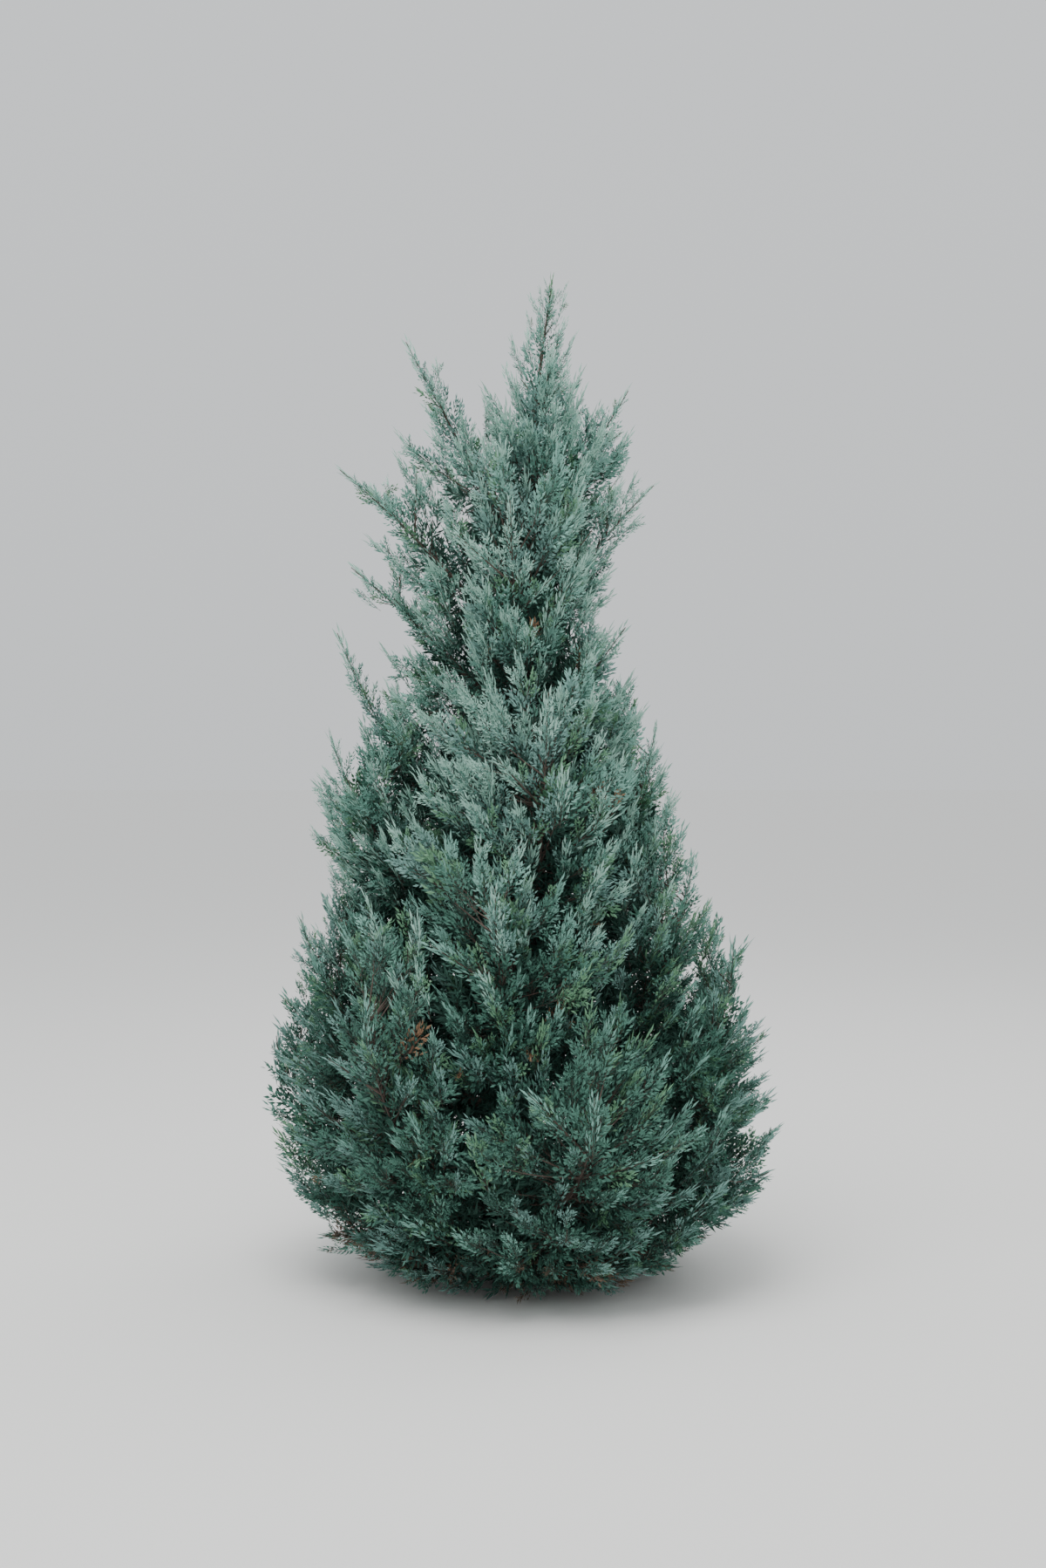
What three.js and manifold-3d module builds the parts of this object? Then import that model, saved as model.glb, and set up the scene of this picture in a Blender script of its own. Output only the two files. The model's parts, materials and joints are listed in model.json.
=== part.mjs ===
// A blue upright juniper, rooted in the ground: one leader that leans at the top, ascending boughs, and
// feathery masses of sprays. Millimetres, +Z up. The origin is the middle of the flat cut under the trunk,
// at ground level. The crown is seen from -Y, with left at -X and right at +X.
import * as THREE from 'three';
import { mergeVertices } from 'three/addons/utils/BufferGeometryUtils.js';
import Module from 'manifold-3d';

const wasm = await Module();
wasm.setup();

// Driving dimensions

const treeHeight = 2616;
const gap = 0.3;
const slightest = 0.02;
const seed = 71;
const goldenTurn = Math.PI * (3 - Math.sqrt(5));
const up = new THREE.Vector3(0, 0, 1);

const trunkSizes = {
  top: 2450,
  footRadius: 36,
  tipRadius: 3,
  flare: 20,
  flareHeight: 80,
  flareLobes: 5,
  lobeDepth: 0.16,
  leanFrom: 1980,
  lean: 87,
  leanBend: 1.2,
  sway: 9,
  swayLength: 1500,
  sides: 10,
  rings: 12,
};

// How far the crown reaches from the trunk's axis to the left, to the right, and to the front and back.
const crownOutline = [
  { height: 0, left: 380, right: 320, front: 350 },
  { height: 60, left: 485, right: 450, front: 480 },
  { height: 150, left: 560, right: 600, front: 575 },
  { height: 300, left: 650, right: 660, front: 640 },
  { height: 480, left: 700, right: 680, front: 675 },
  { height: 830, left: 610, right: 620, front: 610 },
  { height: 900, left: 595, right: 560, front: 595 },
  { height: 1020, left: 560, right: 485, front: 550 },
  { height: 1300, left: 565, right: 430, front: 490 },
  { height: 1450, left: 500, right: 355, front: 440 },
  { height: 1560, left: 410, right: 300, front: 395 },
  { height: 1690, left: 305, right: 215, front: 340 },
  { height: 1840, left: 395, right: 200, front: 320 },
  { height: 2080, left: 440, right: 300, front: 310 },
  { height: 2210, left: 320, right: 250, front: 260 },
  { height: 2280, left: 150, right: 175, front: 170 },
  { height: 2350, left: 104, right: 124, front: 112 },
  { height: 2450, left: 70, right: 92, front: 78 },
  { height: 2520, left: 36, right: 60, front: 46 },
  { height: treeHeight, left: 12, right: 12, front: 12 },
];

// Rings of boughs from the ground up. Root and tip give the lowest and highest of the ring, and turn is in
// degrees from +X. Start is where in that range the first tip lies, and each next tip lies tipStep further
// round it. Bend is where a bough's elbow lies, as a share of its run and of its rise.
const tiers = [
  { name: 'skirt', boughs: 5, turn: 60, root: [50, 110], tip: [140, 330], start: 0.1, bend: [0.65, 0.6] },
  { name: 'low', boughs: 6, turn: -12, root: [150, 260], tip: [480, 900], start: 0.98, bend: [0.95, 0.2] },
  { name: 'middle', boughs: 5, turn: -18, root: [330, 520], tip: [880, 1140], start: 0.9, bend: [0.8, 0.2] },
  { name: 'shoulder', boughs: 4, turn: 2, root: [640, 860], tip: [1330, 1570], start: 0.5, bend: [0.7, 0.2] },
];
const azimuthPlay = 9;
const tipStep = 0.45;

// Limbs of the upper crown, where the outline is ragged. A tuft springs from the trunk with no bare bough,
// and girth thins a mass.
const upperLimbs = [
  { name: 'shoulder_left', azimuth: 168, root: 960, tip: 1693, reach: 515, bend: [0.6, 0.35] },
  { name: 'waist_left', azimuth: 172, root: 1410, tip: 1865, reach: 470, bend: [0.4, 0.5], girth: 0.8 },
  { name: 'waist_right', azimuth: -28, root: 1260, tip: 1700, reach: 290, tuft: true, bend: [0.4, 0.5] },
  { name: 'upper_left', azimuth: 192, root: 1600, tip: 2106, reach: 500, bend: [0.42, 0.55] },
  { name: 'upper_right', azimuth: -6, root: 1590, tip: 2072, reach: 328, bend: [0.34, 0.55] },
  { name: 'upper_front', azimuth: 262, root: 1380, tip: 2010, reach: 300, bend: [0.55, 0.4] },
  { name: 'upper_back', azimuth: 88, root: 1340, tip: 2000, reach: 310, tuft: true, bend: [0.55, 0.4] },
  { name: 'coleader', azimuth: 178, root: 1850, tip: 2451, reach: 361, bend: [0.5, 0.5], girth: 0.6 },
  { name: 'leader_right', azimuth: 6, root: 1880, tip: 2325, reach: 239, tuft: true, bend: [0.5, 0.5] },
  { name: 'leader_front', azimuth: 285, root: 1990, tip: 2420, reach: 85, tuft: true, bend: [0.55, 0.4] },
  { name: 'leader_back', azimuth: 60, root: 2080, tip: 2480, reach: 75, tuft: true, bend: [0.55, 0.4] },
];

// A bough is bare over this first share of its length, and is leaved beyond it.
const boughSizes = { bare: 0.3, rootRadiusPerLength: 0.017, tipRadius: 2.2, sides: 5, segments: 3 };

// A mass has one stem inside a core of dense foliage, twigs that leave the stem, and sprays on both.
const massSizes = {
  coreGirth: 0.4,
  coreMost: 235,
  coreFill: 0.82,
  coreFlute: 0.64,
  coreSides: 8,
  coreSegments: 5,
  coreEnd: 0.92,
  rayStep: 12,
  twigs: 3,
  firstTwig: 0.06,
  lastTwig: 0.7,
  twigShare: 0.4,
  twigLeast: 70,
  twigSpread: 58,
  twigRadius: 5,
  stemSprays: 5,
  firstSpray: 0.2,
  lastSpray: 0.85,
  lift: 0.35,
};

const spraySizes = {
  share: 0.56,
  least: 140,
  most: 340,
  smallest: 60,
  thickness: 0.12,
  sunk: 10,
  endSpread: 12,
  sideSpread: 42,
  cuts: [1, 0.84, 0.7, 0.58, 0.46],
};

// Half of a spray's outline from its root to its tip, as shares of its length along and out, and the place
// along it where it is thickest.
const toothedHalf = [[0.32, 0.21], [0.42, 0.11], [0.7, 0.19]];
const plainHalf = [[0.45, 0.19]];
const heart = 0.36;

// Room that foliage keeps to other masses, limbs and the ground.
const spaceMargin = 5;
const limbClearance = 3;
const groundClearance = 4;

// How far beside its stem a mass may reach out of the crown: less and less towards the stem's end.
const besideStem = { atEnd: 25, perLength: 0.42, most: 110 };

const barkMaterial = new THREE.MeshStandardMaterial({ color: 0x6b4a3a, roughness: 0.95, metalness: 0 });
const boughMaterial = new THREE.MeshStandardMaterial({ color: 0x7a5546, roughness: 0.92, metalness: 0 });
const foliageMaterial = new THREE.MeshStandardMaterial({ color: 0x6f9a92, roughness: 0.8, metalness: 0 });

// Numbers and places

// A repeatable number from 0 to 1 for each set of whole-number keys.
function chance(...keys) {
  let mixed = seed;
  for (const key of keys) {
    mixed = Math.imul(mixed ^ key, 0x9e3779b1);
    mixed ^= mixed >>> 15;
    mixed = Math.imul(mixed, 0x85ebca6b);
    mixed ^= mixed >>> 13;
  }
  return (mixed >>> 0) / 2 ** 32;
}

function between([low, high], share) {
  return low + (high - low) * share;
}

function heading(degrees) {
  const angle = THREE.MathUtils.degToRad(degrees);
  return new THREE.Vector3(Math.cos(angle), Math.sin(angle), 0);
}

// The direction across a line that leans most towards the wanted one.
function across(direction, wanted) {
  const flat = wanted.clone().addScaledVector(direction, -wanted.dot(direction));
  if (flat.lengthSq() < 1e-6) flat.set(direction.y, -direction.x, direction.z * 0.5).cross(direction);
  return flat.normalize();
}

function trunkAxis(height) {
  const { leanFrom, lean, leanBend, sway, swayLength } = trunkSizes;
  const above = Math.max(0, height - leanFrom) / (treeHeight - leanFrom);
  const wave = (2 * Math.PI * height) / swayLength;
  const x = lean * above ** leanBend + sway * Math.sin(wave);
  return new THREE.Vector3(x, sway * (1 - Math.cos(wave * 0.7)), height);
}

function trunkRadius(height, angle) {
  const { top, footRadius, tipRadius, flare, flareHeight, flareLobes, lobeDepth } = trunkSizes;
  const taper = tipRadius + (footRadius - tipRadius) * (1 - Math.min(height, top) / top) ** 0.9;
  const foot = Math.exp(-height / flareHeight);
  return (taper + flare * foot) * (1 + lobeDepth * foot * Math.cos(flareLobes * angle));
}

function crownRadius(height, direction) {
  const above = crownOutline.findIndex((row) => row.height >= height);
  const high = crownOutline[Math.max(1, above === -1 ? crownOutline.length - 1 : above)];
  const low = crownOutline[crownOutline.indexOf(high) - 1];
  const share = THREE.MathUtils.clamp((height - low.height) / (high.height - low.height), 0, 1);
  const left = between([low.left, high.left], share);
  const right = between([low.right, high.right], share);
  const front = between([low.front, high.front], share);
  return between([front, between([left, right], (1 + direction.x) / 2)], direction.x ** 2);
}

// Solids

function solidOf(geometry) {
  const bare = geometry.clone().deleteAttribute('normal').deleteAttribute('uv');
  const merged = mergeVertices(bare, 1e-4);
  return new wasm.Manifold(new wasm.Mesh({
    numProp: 3,
    vertProperties: merged.attributes.position.array,
    triVerts: new Uint32Array(merged.index.array),
  }));
}

function geometryOf(solid) {
  const { vertProperties, triVerts } = solid.getMesh();
  const geometry = new THREE.BufferGeometry();
  geometry.setAttribute('position', new THREE.BufferAttribute(vertProperties, 3));
  geometry.setIndex(new THREE.BufferAttribute(triVerts, 1));
  geometry.computeVertexNormals();
  return geometry;
}

function join(solids) {
  return solids.reduce((whole, next) => whole.add(next));
}

// The largest outer body: loose scraps are dropped, and hollows that the joining sealed are filled.
function wholeOf(solid) {
  const bodies = solid.simplify(slightest).decompose();
  return bodies.reduce((best, body) => (body.volume() > best.volume() ? body : best));
}

// A cylinder whose corners are put in place by a function of their share of its height, their angle, and
// whether they lie on its wall or on its axis.
function shapedCylinder(place, sides, segments, pointed = false) {
  const geometry = new THREE.CylinderGeometry(pointed ? 0 : 1, 1, 1, sides, segments);
  const position = geometry.attributes.position;
  for (let i = 0; i < position.count; i += 1) {
    const x = position.getX(i);
    const z = position.getZ(i);
    const spot = place(position.getY(i) + 0.5, Math.atan2(x, z), Math.hypot(x, z) > 1e-6);
    position.setXYZ(i, spot.x, spot.y, spot.z);
  }
  return geometry;
}

function trunkSolid(extra = 0) {
  const place = (share, angle, onWall) => {
    const height = share ** 1.5 * (trunkSizes.top + extra);
    const radius = onWall ? trunkRadius(height, angle) + extra : 0;
    return trunkAxis(height).add(new THREE.Vector3(radius * Math.cos(angle), radius * Math.sin(angle), 0));
  };
  return solidOf(shapedCylinder(place, trunkSizes.sides, trunkSizes.rings));
}

// A limb along a curve that lies in one plane, from one share of the curve to another.
function limbSolid(curve, [from, to], radiusAt, sides, segments, pointed = false) {
  const chord = curve.getPoint(1).sub(curve.getPoint(0)).normalize();
  const acrossPlane = curve.getTangent(0).cross(curve.getTangent(1)).addScaledVector(up, 1e-3);
  const side = across(chord, acrossPlane);
  const place = (share, angle, onWall) => {
    const along = between([from, to], share);
    const middle = curve.getPoint(along);
    if (!onWall) return middle;
    const lower = curve.getTangent(along).cross(side).normalize();
    const outward = side.clone().multiplyScalar(Math.cos(angle)).addScaledVector(lower, Math.sin(angle));
    return middle.clone().addScaledVector(outward, radiusAt(along, angle, middle, outward));
  };
  return solidOf(shapedCylinder(place, sides, segments, pointed));
}

function outlineOf(half) {
  const right = half.map(([along, out]) => [along, -out]);
  const left = half.map(([along, out]) => [along, out]).reverse();
  return [[0, 0], ...right, [1, 0], ...left];
}

// A spray as a blade, thickest at its heart.
function sprayShape(root, direction, facing, length, half) {
  const normal = across(direction, facing);
  const sideways = normal.clone().cross(direction);
  const spot = (along, out, rise) => root.clone()
    .addScaledVector(direction, along * length)
    .addScaledVector(sideways, out * length)
    .addScaledVector(normal, rise * length);
  const rim = outlineOf(half).map(([along, out]) => spot(along, out, 0));
  const faces = [spot(heart, 0, spraySizes.thickness / 2), spot(heart, 0, -spraySizes.thickness / 2)];
  return { rim, points: [...rim, ...faces] };
}

function spraySolid({ rim, points }) {
  const count = rim.length;
  const index = [];
  for (let i = 0; i < count; i += 1) {
    const next = (i + 1) % count;
    index.push(i, next, count, next, i, count + 1);
  }
  const geometry = new THREE.BufferGeometry().setFromPoints(points);
  geometry.setIndex(index);
  return solidOf(geometry);
}

// Limbs

function boughCurve({ azimuth, root, tip, reach, bend }) {
  const out = heading(azimuth);
  const start = trunkAxis(root);
  const end = trunkAxis(tip).addScaledVector(out, reach ?? crownRadius(tip, out));
  const elbow = start.clone().lerp(end, bend[0]);
  elbow.z = between([start.z, end.z], bend[1]);
  return new THREE.QuadraticBezierCurve3(start, elbow, end);
}

function tierBoughs(tier, tierNumber) {
  return Array.from({ length: tier.boughs }, (_, i) => {
    const play = (chance(tierNumber, i, 1) - 0.5) * 2 * azimuthPlay;
    return {
      name: `${tier.name}_${i + 1}`,
      azimuth: tier.turn + (360 * i) / tier.boughs + play,
      root: between(tier.root, chance(tierNumber, i, 2)),
      tip: between(tier.tip, (tier.start + i * tipStep) % 1),
      bend: tier.bend,
    };
  });
}

function makeStem(sizes) {
  const curve = boughCurve(sizes);
  const length = curve.getLength();
  const { bare, rootRadiusPerLength, tipRadius } = boughSizes;
  const radiusAt = (along) => tipRadius + rootRadiusPerLength * length * (1 - along) ** 1.1;
  return { ...sizes, curve, length, radiusAt, from: sizes.tuft ? 0 : bare };
}

// The leader's last stretch, from the trunk's top to the tip of the tree.
function leaderTip() {
  const start = trunkAxis(trunkSizes.top).setZ(trunkSizes.top + gap);
  const end = trunkAxis(treeHeight).setZ(treeHeight);
  const curve = new THREE.QuadraticBezierCurve3(start, start.clone().lerp(end, 0.5), end);
  const radiusAt = () => trunkSizes.tipRadius;
  return { name: 'leader_tip', curve, length: curve.getLength(), radiusAt, from: 0 };
}

const lowerBoughs = tiers.flatMap(tierBoughs);
const limbs = [...lowerBoughs, ...upperLimbs].map(makeStem);
const boughs = limbs.filter((limb) => !limb.tuft);
const stems = [...boughs, ...limbs.filter((limb) => limb.tuft), leaderTip()];

// Space: each mass keeps to the places that lie nearer its own stem than any other.

function sampled(curve, [from, to], steps) {
  return Array.from({ length: steps + 1 }, (_, i) => curve.getPoint(between([from, to], i / steps)));
}

function distanceTo(path, point) {
  const line = new THREE.Line3();
  const nearest = new THREE.Vector3();
  let least = Infinity;
  for (let i = 0; i + 1 < path.length; i += 1) {
    line.set(path[i], path[i + 1]).closestPointToPoint(point, true, nearest);
    least = Math.min(least, nearest.distanceTo(point));
  }
  return least;
}

const stemPaths = stems.map(({ curve, from }) => sampled(curve, [from, 1], 8));
const stemEnds = stems.map(({ curve }) => curve.getPoint(1));
const barePaths = boughs.map(({ curve, from }) => sampled(curve, [0, from], 5));

function trunkDistance(point) {
  const middle = trunkAxis(Math.min(point.z, trunkSizes.top));
  return point.distanceTo(middle) - trunkRadius(middle.z, 0);
}

function limbDistance(point, owner) {
  return boughs.reduce((least, bough, i) => {
    if (i === owner) return least;
    return Math.min(least, distanceTo(barePaths[i], point) - bough.radiusAt(0));
  }, trunkDistance(point));
}

function stemDistance(point, owner) {
  const others = stemPaths.filter((_, i) => i !== owner);
  return Math.min(...others.map((path) => distanceTo(path, point)));
}

// Whether a point lies in the crown, or close enough to its own stem where that stands out of the crown.
function insideCrown(point, ownDistance, owner) {
  if (point.z < groundClearance || point.z > treeHeight) return false;
  const out = point.clone().sub(trunkAxis(point.z)).setZ(0);
  const { atEnd, perLength, most } = besideStem;
  const beside = Math.min(most, atEnd + perLength * point.distanceTo(stemEnds[owner]));
  return ownDistance < beside || out.length() <= crownRadius(point.z, out.clone().normalize());
}

function isFree(point, owner) {
  const ownDistance = distanceTo(stemPaths[owner], point);
  if (!insideCrown(point, ownDistance, owner)) return false;
  if (ownDistance + spaceMargin > stemDistance(point, owner)) return false;
  return limbDistance(point, owner) > limbClearance;
}

// Foliage

// How far a ray from a stem runs before it meets another mass, a limb or the edge of the crown.
function freeReach(start, direction, owner, most) {
  const { rayStep } = massSizes;
  const isOpen = (reach) => isFree(start.clone().addScaledVector(direction, reach), owner);
  let reach = rayStep;
  while (reach < most && isOpen(reach + rayStep)) reach += rayStep;
  return Math.min(reach, most);
}

// The core is fluted, fits the room round its stem, and thins to a point before the stem's end.
function coreSolid(stem, owner) {
  const { coreGirth, coreMost, coreFill, coreFlute, coreSides, coreSegments } = massSizes;
  const most = Math.min(coreMost, stem.length * (1 - stem.from) * coreGirth) * (stem.girth ?? 1);
  const radiusAt = (along, angle, middle, direction) => {
    const share = (along - stem.from) / (1 - stem.from);
    const swell = Math.sin(Math.PI * Math.min(share, 0.97)) ** 0.5;
    const flute = Math.round((angle / (2 * Math.PI)) * coreSides) % 2 ? coreFlute : 1;
    const least = stem.radiusAt(along) + 1;
    return Math.max(least, freeReach(middle, direction, owner, most) * swell * flute * coreFill);
  };
  const start = stem.from + (stem.from > 0 ? gap / stem.length : 0);
  return limbSolid(stem.curve, [start, massSizes.coreEnd], radiusAt, coreSides, coreSegments, true);
}

// A direction that leaves a line at an angle, turned round it by another, and lifted.
function leaving(tangent, spread, turn, lift) {
  const angle = THREE.MathUtils.degToRad(spread);
  const sideways = across(tangent, up).applyAxisAngle(tangent, turn);
  const forward = tangent.clone().multiplyScalar(Math.cos(angle));
  return forward.addScaledVector(sideways, Math.sin(angle)).addScaledVector(up, lift).normalize();
}

// A spray rooted in what bears it, made smaller until all of it lies free, or nothing.
function sprayOn(root, direction, turn, length, half, owner) {
  const facing = across(direction, up).applyAxisAngle(direction, turn);
  const sunk = root.clone().addScaledVector(direction, -spraySizes.sunk);
  const lengths = spraySizes.cuts.map((cut) => length * cut).filter((cut) => cut > spraySizes.smallest);
  const shapes = lengths.map((cut) => sprayShape(sunk, direction, facing, cut, half));
  const fitting = shapes.find(({ points }) => points.slice(1).every((point) => isFree(point, owner)));
  return fitting ? spraySolid(fitting) : null;
}

function sprayLength(stem, ...keys) {
  const { share, least, most } = spraySizes;
  const full = THREE.MathUtils.clamp(stem.length * (1 - stem.from) * share, least, most);
  return full * between([0.85, 1.1], chance(...keys));
}

// One twig of a mass, cut back until its end lies free, or nothing.
function twigOf(stem, owner, i) {
  const { twigs, firstTwig, lastTwig, twigShare, twigLeast, twigSpread, lift } = massSizes;
  const share = between([firstTwig, lastTwig], (i + chance(owner, i, 11)) / twigs);
  const along = between([stem.from, 1], share);
  const turn = Math.PI / 2 + Math.PI * i + (chance(owner, i, 12) - 0.5) * 1.4;
  const direction = leaving(stem.curve.getTangent(along), twigSpread, turn, lift);
  const root = stem.curve.getPoint(along);
  const full = stem.length * (1 - stem.from) * twigShare;
  for (const cut of spraySizes.cuts) {
    const end = root.clone().addScaledVector(direction, full * cut);
    if (full * cut > twigLeast && isFree(end, owner)) return { root, end, direction };
  }
  return null;
}

function twigSolid({ root, end }) {
  const curve = new THREE.QuadraticBezierCurve3(root, root.clone().lerp(end, 0.5), end);
  return limbSolid(curve, [0, 1], (along) => massSizes.twigRadius * between([1, 0.5], along), 3, 1);
}

// The fan of sprays that a twig bears: one at its end and one to each side.
function twigSprays(stem, twig, owner, i) {
  const { endSpread, sideSpread } = spraySizes;
  const fan = [
    { at: 1, turn: 3 * chance(owner, i, 22), spread: endSpread, lift: 0.5, half: toothedHalf },
    { at: 0.7, turn: 1.2 + chance(owner, i, 23), spread: sideSpread, lift: 0.25, half: toothedHalf },
    { at: 0.9, turn: 4.3 + chance(owner, i, 24), spread: sideSpread, lift: 0.25, half: plainHalf },
  ];
  return fan.map(({ at, turn, spread, lift, half }, j) => {
    const root = twig.root.clone().lerp(twig.end, at);
    const direction = leaving(twig.direction, spread, turn, lift);
    return sprayOn(root, direction, turn * 2, sprayLength(stem, owner, i, j), half, owner);
  });
}

// Sprays that stand out of the core all along the stem.
function stemSprays(stem, owner) {
  const { stemSprays: count, firstSpray, lastSpray, lift } = massSizes;
  return Array.from({ length: count }, (_, i) => {
    const along = between([stem.from, 1], between([firstSpray, lastSpray], i / (count - 1)));
    const turn = goldenTurn * i + owner;
    const direction = leaving(stem.curve.getTangent(along), spraySizes.sideSpread, turn, lift);
    const length = sprayLength(stem, owner, i, 31);
    return sprayOn(stem.curve.getPoint(along), direction, turn, length, toothedHalf, owner);
  });
}

// The spray that carries the very tip of a mass's stem.
function tipSpray(stem, owner) {
  const direction = stem.curve.getTangent(1);
  const length = Math.min(sprayLength(stem, owner, 41), stem.length * 0.5) * (stem.girth ?? 1);
  const root = stem.curve.getPoint(1).addScaledVector(direction, -length);
  return spraySolid(sprayShape(root, direction, heading(chance(owner, 42) * 360), length, toothedHalf));
}

function massSolid(stem, owner, trunkClear) {
  const pieces = [coreSolid(stem, owner), tipSpray(stem, owner), ...stemSprays(stem, owner)];
  for (let i = 0; i < massSizes.twigs; i += 1) {
    const twig = twigOf(stem, owner, i);
    if (twig) pieces.push(twigSolid(twig), ...twigSprays(stem, twig, owner, i));
  }
  const joined = join(pieces.filter(Boolean));
  return wholeOf(stem.from > 0 ? joined : joined.subtract(trunkClear));
}

function boughSolid(bough, trunkClear) {
  const { sides, segments } = boughSizes;
  const limb = limbSolid(bough.curve, [0, bough.from], bough.radiusAt, sides, segments);
  return wholeOf(limb.subtract(trunkClear));
}

// The tree

function addPiece(group, name, solid, material) {
  const mesh = new THREE.Mesh(geometryOf(solid), material);
  mesh.name = name;
  group.add(mesh);
}

const tree = new THREE.Group();
const trunkClear = trunkSolid(gap);
addPiece(tree, 'trunk', trunkSolid(), barkMaterial);
boughs.forEach((bough) => {
  addPiece(tree, `bough_${bough.name}`, boughSolid(bough, trunkClear), boughMaterial);
});
stems.forEach((stem, owner) => {
  addPiece(tree, `foliage_${stem.name}`, massSolid(stem, owner, trunkClear), foliageMaterial);
});

export default tree;
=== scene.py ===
import json
from math import atan, cos, hypot, pi, radians, sin, sqrt

import bpy
import numpy as np
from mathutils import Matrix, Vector
from mathutils.noise import noise
from numpy.linalg import norm

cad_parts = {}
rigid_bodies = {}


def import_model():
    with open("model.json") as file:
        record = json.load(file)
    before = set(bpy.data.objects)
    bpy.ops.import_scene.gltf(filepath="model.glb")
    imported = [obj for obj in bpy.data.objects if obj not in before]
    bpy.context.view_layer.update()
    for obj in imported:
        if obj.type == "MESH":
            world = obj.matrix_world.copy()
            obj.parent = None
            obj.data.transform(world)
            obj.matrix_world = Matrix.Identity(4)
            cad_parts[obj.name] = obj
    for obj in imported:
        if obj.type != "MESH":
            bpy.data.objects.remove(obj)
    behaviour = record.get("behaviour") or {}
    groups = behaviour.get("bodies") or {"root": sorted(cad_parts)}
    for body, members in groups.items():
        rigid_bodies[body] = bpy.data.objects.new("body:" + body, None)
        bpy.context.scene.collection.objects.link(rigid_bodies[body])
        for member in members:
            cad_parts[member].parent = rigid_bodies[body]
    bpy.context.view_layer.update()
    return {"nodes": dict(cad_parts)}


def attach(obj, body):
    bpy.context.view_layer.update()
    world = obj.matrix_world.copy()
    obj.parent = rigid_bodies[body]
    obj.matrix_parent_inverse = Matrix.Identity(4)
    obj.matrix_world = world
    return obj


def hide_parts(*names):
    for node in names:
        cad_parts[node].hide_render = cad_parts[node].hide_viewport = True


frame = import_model()
print("frame loaded")

mm = 0.001
goldenTurn = pi * (3 - sqrt(5))
up = np.array((0.0, 0.0, 1.0))

# the growth rule works in millimetres, like the solids; meshes are made in metres

tree = {"height": 2616, "gap": 0.3, "seed": 71}

trunk = {
    "top": 2450, "footRadius": 36, "tipRadius": 3, "taper": 0.9, "flare": 20, "flareHeight": 80,
    "flareLobes": 5, "lobeDepth": 0.16, "leanFrom": 1980, "lean": 87, "leanBend": 1.2, "sway": 9,
    "swayLength": 1500, "swayAside": 0.7, "leaderTaper": 0.7,
}

# height, then the crown's reach to the left, to the right, and to the front and back
crownOutline = np.array([
    (0, 380, 320, 350), (60, 485, 450, 480), (150, 560, 600, 575), (300, 650, 660, 640),
    (480, 700, 680, 675), (830, 610, 620, 610), (900, 595, 560, 595), (1020, 560, 485, 550),
    (1300, 565, 430, 490), (1450, 500, 355, 440), (1560, 410, 300, 395), (1690, 305, 215, 340),
    (1840, 395, 200, 320), (2080, 440, 300, 310), (2210, 320, 250, 260), (2280, 150, 175, 170),
    (2350, 104, 124, 112), (2450, 70, 92, 78), (2520, 36, 60, 46), (2616, 12, 12, 12),
], float)

# boughs, turn, heights of the roots, heights of the tips, place of the first tip between them, bend
tiers = [
    (5, 60, (50, 110), (140, 330), 0.1, (0.65, 0.6)), (6, -12, (150, 260), (480, 900), 0.98, (0.95, 0.2)),
    (5, -18, (330, 520), (880, 1140), 0.9, (0.8, 0.2)), (4, 2, (640, 860), (1330, 1570), 0.5, (0.7, 0.2)),
]
azimuthPlay = 18
tipStep = 0.45

# azimuth, height of the root, height of the tip, reach, bend
upperLimbs = [
    (168, 960, 1693, 515, (0.6, 0.35)), (172, 1410, 1865, 470, (0.4, 0.5)),
    (192, 1600, 2106, 500, (0.42, 0.55)), (-6, 1590, 2072, 328, (0.34, 0.55)),
    (262, 1380, 2010, 300, (0.55, 0.4)), (178, 1850, 2451, 361, (0.5, 0.5)),
]
tufts = [
    (-28, 1260, 1700, 290, (0.4, 0.5)), (88, 1340, 2000, 310, (0.55, 0.4)), (6, 1880, 2325, 239, (0.5, 0.5)),
    (285, 1990, 2420, 85, (0.55, 0.4)), (60, 2080, 2480, 75, (0.55, 0.4)),
]

bough = {"bare": 0.3, "rootRadiusPerLength": 0.017, "tipRadius": 2.2, "taper": 1.1}
space = {"margin": 5, "limb": 3, "ground": 4, "stemSteps": 8, "bareSteps": 5}
besideStem = {"atEnd": 25, "perLength": 0.42, "most": 110}

mass = {
    "twigs": 3, "firstTwig": 0.06, "lastTwig": 0.7, "twigShare": 0.4, "twigLeast": 70, "twigSpread": 58,
    "twigTurns": 1.4, "twigRadii": (3.5, 1), "stemSprays": 5, "firstSpray": 0.2, "lastSpray": 0.85,
    "lift": 0.35,
}
spray = {
    "share": 0.56, "least": 140, "most": 340, "smallest": 60, "thickness": 0.12, "sunk": 10,
    "endSpread": 12, "sideSpread": 42, "cuts": (1, 0.84, 0.7, 0.58, 0.46), "heart": 0.36,
    "play": (0.85, 1.1),
}
toothedHalf = [(0.32, 0.21), (0.42, 0.11), (0.7, 0.19)]
plainHalf = [(0.45, 0.19)]


def chance(*keys):  # from 0 to 1, the same for the same keys in each run
    mask = 0xFFFFFFFF
    mixed = tree["seed"]
    for key in keys:
        mixed = ((mixed ^ key) * 0x9E3779B1) & mask
        mixed ^= mixed >> 15
        mixed = (mixed * 0x85EBCA6B) & mask
        mixed ^= mixed >> 13
    return mixed / 2**32


def between(ends, share):
    return ends[0] + (ends[1] - ends[0]) * share


def drawn(ends, *keys):
    return between(ends, chance(*keys))


def drift(width, *keys):  # to either side, over a width in all
    return width * (chance(*keys) - 0.5)


def unit(vector):
    return vector / norm(vector)


def heading(degrees):
    return np.array((cos(radians(degrees)), sin(radians(degrees)), 0.0))


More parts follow.
